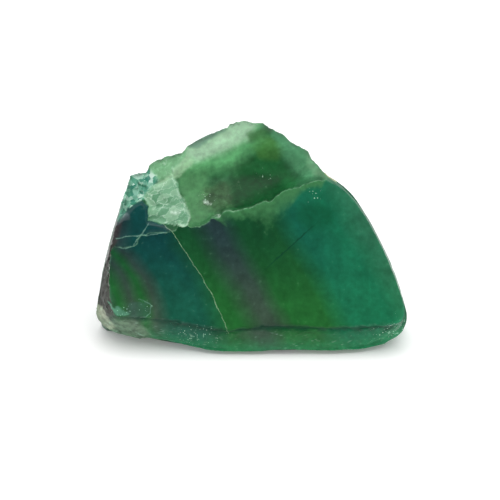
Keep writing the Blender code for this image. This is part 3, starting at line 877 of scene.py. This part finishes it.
# %% The pale crack
CRACK_NORMAL = (1.0, 0.408, 0.577)
CRACK_MIDDLE, CRACK_HALF_LENGTH, CRACK_BOW = 14.5, 11.0, 1.2
CRACK_OFFSET = 1.4  # distance of the crack's plane from the zero point
half_lengths = [v_mm, 1 / CRACK_HALF_LENGTH, -CRACK_MIDDLE / CRACK_HALF_LENGTH]
from_middle = add("Math", half_lengths, operation="MULTIPLY_ADD")
crack_bend = add("Math", [from_middle, from_middle], operation="MULTIPLY")
along_crack = add("VectorMath", [place_mm, CRACK_NORMAL], "Value", operation="DOT_PRODUCT")
past_crack = add("Math", [crack_bend, CRACK_BOW, along_crack], operation="MULTIPLY_ADD")
past_crack = add("Math", [past_crack, CRACK_OFFSET], operation="ADD")
right_block = add("MapRange", {"Value": past_crack, "From Min": -0.25, "From Max": 0.35})
banded = add("Mix", {0: right_block, 6: blocks[0], 7: blocks[1]}, 2, data_type="RGBA")
print("the crack's plane is square to", CRACK_NORMAL)

# %% [markdown]
# Towards the top the stone is thicker behind the face and less light comes through, so red and green
# fall off first. A slow cloudiness breaks up the even tone.

# %% Depth and cloudiness
DIMMED = (0.40, 0.52, 0.84, 1.0)
up_share = add(
    "MapRange", {"Value": v_mm, "From Min": 6.0, "From Max": 25.0}, interpolation_type="SMOOTHSTEP"
)
less_at_right = add(
    "MapRange", {"Value": slanted, "From Min": 3.0, "From Max": 17.0, "To Min": 1.0, "To Max": 0.3}
)
darkening = add("Math", [up_share, less_at_right], operation="MULTIPLY")
thick = add("Mix", {0: darkening, 6: banded, 7: DIMMED}, 2, data_type="RGBA", blend_type="MULTIPLY")
cloud = add(
    "MapRange", {"Value": cloud_noise, "From Min": 0.3, "From Max": 0.7, "To Min": 0.8, "To Max": 1.25}
)
clouded = add("VectorMath", {0: thick, "Scale": cloud}, operation="SCALE")
print("the top of the left block has", DIMMED[1], "of the green of its foot")

# %% [markdown]
# The patches lie over the bands one after the other, each a tone with a share. A share comes from
# the mesh, and noise breaks its edge. The break is paler than the face, because its fine roughness
# scatters light; the milky fold and the plate hold tiny fractures that turn them almost white.

# %% Tones of the patches
PATCH_TONES = [  # share, tone, how much of it, how frayed its edge is
    ("broken", "2c643e", 0.9, 0.5),
    ("left_dish", "57905f", 0.85, 0.2),
    ("brown", "4c6844", 0.55, 0.5),
    ("dark_heart", "1e6234", 0.9, 0.2),
    ("deep_heart", "05401c", 0.8, 0.3),
    ("olive", "4d8240", 0.7, 0.2),
    ("pale_rim", "5a9a70", 0.75, 0.3),
    ("shoulder", "7a9f7c", 0.4, 0.4),
    ("milk", "66ac73", 0.9, 0.15),
    ("milk_heart", "a6c6a8", 0.9, 0.2),
    ("grey_crest", "6c8a7c", 0.8, 0.4),
    ("notch", "3c6e3c", 0.8, 0.3),
    ("wedge", "84b98a", 0.85, 0.5),
    ("plate", "6c9c7c", 0.85, 0.5),
    ("lower_plate", "8cb99a", 0.6, 0.5),
    ("ridge", "b0cdab", 0.6, 0.5),
    ("low_band", "1c6a46", 0.1, 0.5),
    # painted light from the paper below, lighter towards the foot's lower edge
    ("painted_foot_light", "308a5c", 0.58, 0.3),
    ("grey_foot", "7c8272", 0.8, 0.6),
    ("left_band", "4a383c", 0.8, 0.5),
    # the right side's tone, darkened as painted shade where it turns away from the light above
    ("right_band", "145038", 0.6, 0.5),
    ("grey_chip", "5d6068", 0.6, 0.5),
    ("chip_hollow", "4a645c", 0.5, 0.5),
    ("teal_chip", "69947f", 0.8, 0.6),
    ("corner", "b0a996", 0.85, 0.5),
    # painted highlight in a peach tone
    ("corner_highlight", "c8b48c", 0.8, 0.4),
    ("lip", "4a7a50", 0.95, 0.7),
    ("shade", "0f5036", 0.6, 0.3),
]
uneven_by = add("MapRange", {"Value": share_of["rugged"], "To Min": 0.9, "To Max": 2.4})
off_middle = add("Math", [fine_noise, 0.5], operation="SUBTRACT")
texture_shade = add("Math", [off_middle, uneven_by, 1.0], operation="MULTIPLY_ADD")
streak_place = add(
    "Mapping",
    {"Vector": place_mm, "Rotation": (0.0, math.radians(-24), 0.0), "Scale": (6.0, 3.0, 1.8)},
    vector_type="TEXTURE",
)
streaks = add("TexNoise", {"Vector": streak_place, "Scale": 1.0, "Detail": 3.0, "Roughness": 0.5})
streaks = add("Math", [streaks, 0.5], operation="SUBTRACT")
streaks = add("Math", [streaks, share_of["broken"]], operation="MULTIPLY")
texture_shade = add("Math", [streaks, 0.8, texture_shade], operation="MULTIPLY_ADD")
colour = clouded
for name, tone, most, fray in PATCH_TONES:
    frayed = add("Math", [fine_noise, fray, share_of[name]], operation="MULTIPLY_ADD")
    amount = add(
        "MapRange",
        {"Value": frayed, "From Min": 0.05 + fray / 2, "From Max": 0.9 + fray / 2, "To Max": most},
        interpolation_type="SMOOTHSTEP",
    )
    colour = add("Mix", {0: amount, 6: colour, 7: linear(tone)}, 2, data_type="RGBA")
colour = add("VectorMath", {0: colour, "Scale": texture_shade}, operation="SCALE")
print(len(PATCH_TONES), "tones")

# %% [markdown]
# The plate is made of thin flakes that lie over one another like scales, longer one way than the
# other. A Voronoi pattern in stretched and slightly bent places gives each flake its own shade. The
# wedge above has the same flakes, only fainter.

# %% Flakes on the plate
FLAKE_SIZE = (2.6, 2.0, 1.1)
bend_noise = add("TexNoise", {"Vector": place_mm, "Scale": 0.8, "Detail": 3.0}, "Color")
bent_place = add("VectorMath", [bend_noise, (1.6, 1.6, 1.6), place_mm], operation="MULTIPLY_ADD")
flake_place = add(
    "Mapping",
    {"Vector": bent_place, "Rotation": (0.0, math.radians(-32), 0.0), "Scale": FLAKE_SIZE},
    vector_type="TEXTURE",
)
flake_cells = add("TexVoronoi", {"Vector": flake_place, "Scale": 1.0}, "Color")
flake_shade = add("SeparateColor", [flake_cells])
flake_ramp = add("ValToRGB", {"Fac": flake_shade})
elements = flake_ramp.node.color_ramp.elements
elements[0].color, elements[1].color = linear("4e8664"), linear("a2c6a8")
elements.new(0.6).color = linear("7dae8a")
flaky = add("Math", [share_of["wedge"], 0.3, share_of["plate"]], operation="MULTIPLY_ADD")
flaky = add("Math", [flaky, 0.65], operation="MULTIPLY")
colour = add("Mix", {0: flaky, 6: colour, 7: flake_ramp}, 2, data_type="RGBA")
# Painted light and shade: on the brown part each flake is made lighter or darker, as if tilted to the light.
flake_tilt_light = add("Math", [flake_shade, 0.5], operation="SUBTRACT")
flake_tilt_light = add("Math", [flake_tilt_light, share_of["brown"]], operation="MULTIPLY")
flake_tilt_light = add("Math", [flake_tilt_light, 0.7, 1.0], operation="MULTIPLY_ADD")
colour = add("VectorMath", {0: colour, "Scale": flake_tilt_light}, operation="SCALE")
flake_rims = add("TexVoronoi", {"Vector": flake_place, "Scale": 1.0}, feature="DISTANCE_TO_EDGE")
flake_rim = add("MapRange", {"Value": flake_rims, "From Min": 0.05, "From Max": 0.0})
print("flakes are about", FLAKE_SIZE[0], "by", FLAKE_SIZE[2], "mm")

# %% [markdown]
# The crumbled corner is a heap of little cleavage chips, each catching the light in its own way: a
# Voronoi pattern gives every cell one shade, from deep teal to frosty white.

# %% Crumbs
CRUMBS_PER_MM = 0.95
crumb_cells = add("TexVoronoi", {"Vector": place_mm, "Scale": CRUMBS_PER_MM}, "Color")
crumb_shade = add("SeparateColor", [crumb_cells])
crumb_ramp = add("ValToRGB", {"Fac": crumb_shade})
elements = crumb_ramp.node.color_ramp.elements
elements[0].color, elements[1].color = linear("368070"), linear("deefe6")
elements.new(0.45).color = linear("60a58c")
elements.new(0.75).color = linear("92c4b0")
colour = add("Mix", {0: share_of["crumbs"], 6: colour, 7: crumb_ramp}, 2, data_type="RGBA")
print("crumbs are about", round(1 / CRUMBS_PER_MM, 1), "mm")

# %% [markdown]
# Fine lines: the crack, the broken edge, the edges of the plate and its flakes, every bruised ridge
# with its painted highlight, and a few painted glints, all pale; and a painted dark shade line where
# the stone turns away at its rim. Noise makes them come and go. They are gathered as layers here,
# and the next cell lays them over the tones.

# %% Fine lines
CRACK_TOP, CRACK_FOOT = 25.7, 3.6
CRACK_AT, CRACK_HALF_WIDTH = 1.3, 0.075
CHIP_LINE_SHIFT = 0.45  # undoes the mean of the noise that bends them
FRONT_DEPTH = 3.0  # how far behind the flat face the lines are drawn
LINE_TONES = [  # share, tone, how much of it
    ("glint", "e4f0e4", 0.9),
    ("broken_edge", "9cc0a0", 0.6),
    ("plate_edge", "d8ead8", 0.6),
    ("bruise_and_highlight", "cfe2d4", 0.6),
    ("rim_shade", "37493d", 0.75),
]
patchy = add("MapRange", {"Value": fine_noise, "From Min": 0.35, "From Max": 0.6})
wandering = add("Math", [cloud_noise, 2.0, past_crack], operation="MULTIPLY_ADD")
wandering = add("Math", [fine_noise, 0.6, wandering], operation="MULTIPLY_ADD")
crack_line = add("Math", [wandering, CRACK_AT, CRACK_HALF_WIDTH], operation="COMPARE")
span_middle, span_half = (CRACK_TOP + CRACK_FOOT) / 2, (CRACK_TOP - CRACK_FOOT) / 2
crack_span = add("Math", [v_mm, span_middle, span_half], operation="COMPARE")
in_front = add("Math", [w_mm, FRONT_DEPTH], operation="LESS_THAN")
crack_fade = add(
    "MapRange", {"Value": fine_noise, "From Min": 0.3, "From Max": 0.65, "To Min": 0.06, "To Max": 0.95}
)
for share in (crack_span, in_front, crack_fade):
    crack_line = add("Math", [crack_line, share], operation="MULTIPLY")
layers = [(crack_line, "acbc9a")]
for name, tone, most in LINE_TONES:
    share = share_of[name]
    for factor in (patchy, most):
        share = add("Math", [share, factor], operation="MULTIPLY")
    layers.append((share, tone))
wiggle = add("VectorMath", [bend_noise, (0.9, 0.0, 0.9), place_mm], operation="MULTIPLY_ADD")
near_face = add("VectorMath", [wiggle, (1.0, 0.2, 1.0)], operation="MULTIPLY")
from_lines = 9.0
for line in CHIP_LINES:
    for (x0, y0), (x1, y1) in zip(line[:-1], line[1:]):
        run = np.array([x1 - x0, 0.0, y1 - y0])
        start = (x0 + CHIP_LINE_SHIFT, 0.0, y0 + CHIP_LINE_SHIFT)
        from_start = add("VectorMath", [near_face, start], operation="SUBTRACT")
        part = add("VectorMath", [from_start, run / (run @ run)], "Value", operation="DOT_PRODUCT")
        part = add("Clamp", [part])
        nearest = add("VectorMath", {0: run, "Scale": part}, operation="SCALE")
        away = add("VectorMath", [from_start, nearest], "Value", operation="DISTANCE")
        from_lines = add("Math", [away, from_lines], operation="MINIMUM")
chip_line = add("MapRange", {"Value": from_lines, "From Min": 0.14, "From Max": 0.05, "To Max": 0.6})
chip_line = add("Math", [chip_line, crack_fade], operation="MULTIPLY")
flake_line = add("Math", [flake_rim, patchy], operation="MULTIPLY")
flake_line = add("Math", [flake_line, flaky], operation="MULTIPLY")
layers += [(chip_line, "9cbcae"), (flake_line, "e2f0e4")]
print(len(layers), "kinds of line so far")

# %% [markdown]
# Two dark lines: painted shade along the crease above the foot's band, and an old healed crack at
# the right, which is straight and fades out at both ends. Then glitter: specks of about a quarter of a
# millimetre where tiny cleavages face the light, painted highlights.

# %% Dark lines and glitter
HEALED_MIDDLE = (7.75, 0.0, 21.15)
HEALED_ALONG, HEALED_ACROSS = (0.745, 0.0, 0.667), (-0.667, 0.0, 0.745)
HEALED_AT, HEALED_HALF_WIDTH = 0.3, 0.13
from_healed = add("VectorMath", [place_mm, HEALED_MIDDLE], operation="SUBTRACT")
along_healed = add("VectorMath", [from_healed, HEALED_ALONG], "Value", operation="DOT_PRODUCT")
across_healed = add("VectorMath", [from_healed, HEALED_ACROSS], "Value", operation="DOT_PRODUCT")
across_healed = add("Math", [fine_noise, 0.6, across_healed], operation="MULTIPLY_ADD")
healed = add("Math", [across_healed, HEALED_AT, HEALED_HALF_WIDTH], operation="COMPARE")
healed_length = add("Math", [along_healed], operation="ABSOLUTE")
healed_fade = add("MapRange", {"Value": healed_length, "From Min": 8.5, "From Max": 3.0, "To Max": 0.8})
for share in (healed_fade, in_front):
    healed = add("Math", [healed, share], operation="MULTIPLY")
# painted shade in the crease
crease_shade = add("Math", [share_of["crease"], 0.75], operation="MULTIPLY")
SPECKS_PER_MM = 3.2
speck_cells = add("TexVoronoi", {"Vector": place_mm, "Scale": SPECKS_PER_MM}).node
speck_size = add("SeparateColor", [speck_cells.outputs["Color"]])
speck_reach = add("MapRange", {"Value": speck_size, "From Min": 0.5, "From Max": 1.0, "To Max": 0.42})
speck_reach = add("Math", [speck_reach, share_of["glitter"]], operation="MULTIPLY")
speck = add("Math", [speck_cells.outputs["Distance"], speck_reach], operation="LESS_THAN")
layers += [(healed, "0d3a2c"), (crease_shade, "0d3a2c"), (speck, "bcdcc6")]
for share, tone in layers:
    colour = add("Mix", {0: share, 6: colour, 7: linear(tone)}, 2, data_type="RGBA")
print("specks lie about", round(1 / SPECKS_PER_MM, 2), "mm apart")

# %% [markdown]
# The tones so far are the ones seen in the end. Part of the light goes into the stone and is lost,
# more of it at the clear face than at the cloudy break, so the surface needs lighter tones than it
# shows.

# %% The light that is lost
LOST_AT_FACE = (1.3, 1.72, 1.58, 1.0)
LOST_AT_BREAK = (1.1, 1.2, 1.15, 1.0)
lost = add("Mix", {0: share_of["broken"], 6: LOST_AT_FACE, 7: LOST_AT_BREAK}, 2, data_type="RGBA")
colour = add("Mix", {0: 1.0, 6: colour, 7: lost}, 2, data_type="RGBA", blend_type="MULTIPLY")
print("the face sends back one part in", LOST_AT_FACE[1], "of the green light")

# %% [markdown]
# The finish: nearly polished on the flat face, satin on the break, with a grain of about a third of
# a millimetre. The clear stone lets a third of the light through, the break half as much. The other
# constants sit on the shader itself, such as the refraction of fluorite.

# %% Principled BSDF and volume
rough = add("MapRange", {"Value": share_of["broken"], "To Min": 0.3, "To Max": 0.42})
passing = add("MapRange", {"Value": share_of["broken"], "To Min": 0.35, "To Max": 0.15})
grain = add("TexNoise", {"Vector": place_mm, "Scale": 3.0, "Detail": 3.0, "Roughness": 0.6})
bump = add("Bump", {"Height": grain, "Strength": 0.25, "Distance": 0.00006})
surface = add(
    "BsdfPrincipled",
    {
        "Base Color": colour,
        "Roughness": rough,
        "Normal": bump,
        "IOR": 1.434,
        "Specular IOR Level": 0.12,
        "Transmission Weight": passing,
        "Subsurface Weight": 0.2,
        "Subsurface Radius": (0.6, 1.0, 0.8),
        "Subsurface Scale": 0.0012,
    },
)
volume = add("VolumeAbsorption", {"Color": (0.08, 0.74, 0.42, 1.0), "Density": 600.0})
output = tree.nodes.new("ShaderNodeOutputMaterial")
tree.links.new(surface, output.inputs["Surface"])
tree.links.new(volume, output.inputs["Volume"])
stone_mesh.materials.append(fluorite)
print(len(tree.nodes), "nodes")

# %% [markdown]
# ## Its place in the frame
# The finished stone stands for the frame's solid and moves with its only body.

# %% Joining the frame
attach(stone, "root")
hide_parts("fluorite_chunk")
stone_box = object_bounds()
beyond_solid = (np.array(stone_box) - cad_box) / MM
print("the stone's corners lie", beyond_solid.round(2).tolist(), "mm from the solid's")

# %% [markdown]
# ## Floor, light and camera
# A photographer's light tent, whose floor is white paper. The paper glows a little, as on a light
# table, so the shadow at the foot stays faint.

# %% A white floor
FLOOR_HALF = 2.0
FLOOR_UNDER = 0.00005  # metres below the foot
floor_mesh = bpy.data.meshes.new("paper_floor")
corners = [(FLOOR_HALF * x, FLOOR_HALF * y, -FLOOR_UNDER) for x, y in ((-1, -1), (1, -1), (1, 1), (-1, 1))]
floor_mesh.from_pydata(corners, [], [(0, 1, 2, 3)])
paper = bpy.data.materials.new("white_paper")
paper.use_nodes = True
paper_surface = paper.node_tree.nodes["Principled BSDF"]
PAPER = {
    "Base Color": (0.92, 0.92, 0.92, 1.0),
    "Roughness": 0.9,
    "Specular IOR Level": 0.2,
    "Emission Color": (1.0, 1.0, 1.0, 1.0),
    "Emission Strength": 0.16,
}
for name, value in PAPER.items():
    paper_surface.inputs[name].default_value = value
floor_mesh.materials.append(paper)
floor = bpy.data.objects.new("paper_floor", floor_mesh)
bpy.context.scene.collection.objects.link(floor)
print("a floor", 2 * FLOOR_HALF, "m wide")

# %% [markdown]
# Pale walls stand all round, with a dark opening for the camera, and one large soft light hangs
# nearly overhead. The smooth face looks straight into the opening, so it shows its own colour and
# not a reflection. The Standard view leaves colours as they are.

# %% The surround and the light overhead
CAMERA_SIDE = tuple((-from_face(0.0, 0.0, 1.0)).tolist())
world = bpy.data.worlds.new("pale_surround")
world.use_nodes = True
bpy.context.scene.world = world
tree = world.node_tree
tree.nodes.clear()
direction = add("TexCoord", {}, "Generated")
nearness = add("VectorMath", [direction, CAMERA_SIDE], "Value", operation="DOT_PRODUCT")
strength = add(
    "MapRange",
    {"Value": nearness, "From Min": 0.7, "From Max": 0.95, "To Min": 0.9, "To Max": 0.08},
    interpolation_type="SMOOTHSTEP",
)
surround = add("Background", {"Color": (1.0, 1.0, 1.0, 1.0), "Strength": strength})
output = tree.nodes.new("ShaderNodeOutputWorld")
tree.links.new(surround, output.inputs["Surface"])

lamp_data = bpy.data.lights.new("overhead_softbox", "AREA")
lamp_data.shape = "DISK"
lamp_data.size = 1.1
lamp_data.energy = 5.8
lamp = bpy.data.objects.new("overhead_softbox", lamp_data)
lamp.location = (0.1, 0.08, 1.0)
lamp.rotation_euler = (math.radians(-4.5), math.radians(5.7), 0.0)
bpy.context.scene.collection.objects.link(lamp)
bpy.context.scene.view_settings.view_transform = "Standard"
bpy.context.scene.cycles.use_denoising = True
print("a softbox of", lamp_data.size, "m at", tuple(round(x, 2) for x in lamp.location))

# %% [markdown]
# The camera looks square at the flat face, from 30 degrees above the ground. A long lens from 0.9 m
# shows hardly any perspective. The lens follows from the picture's scale: five pixels for each
# millimetre at the face.

# %% The camera
FRAME_PIXELS = 500
PIXELS_PER_MM = 5.0
CAMERA_DISTANCE = 900.0
SENSOR_WIDTH = 36.0
AIM = on_ground(-0.4, 20.4, 0.0)

camera_data = bpy.data.cameras.new("camera")
camera_data.sensor_width = SENSOR_WIDTH
camera_data.lens = PIXELS_PER_MM * SENSOR_WIDTH * CAMERA_DISTANCE / FRAME_PIXELS
camera = bpy.data.objects.new("camera", camera_data)
camera.location = place(AIM - CAMERA_DISTANCE * from_face(0.0, 0.0, 1.0))
camera.rotation_euler = (math.pi / 2 - FACE_LEAN, 0.0, 0.0)
bpy.context.scene.collection.objects.link(camera)
bpy.context.scene.camera = camera
print("lens", camera_data.lens, "mm, camera at", [round(x, 3) for x in camera.location], "m")
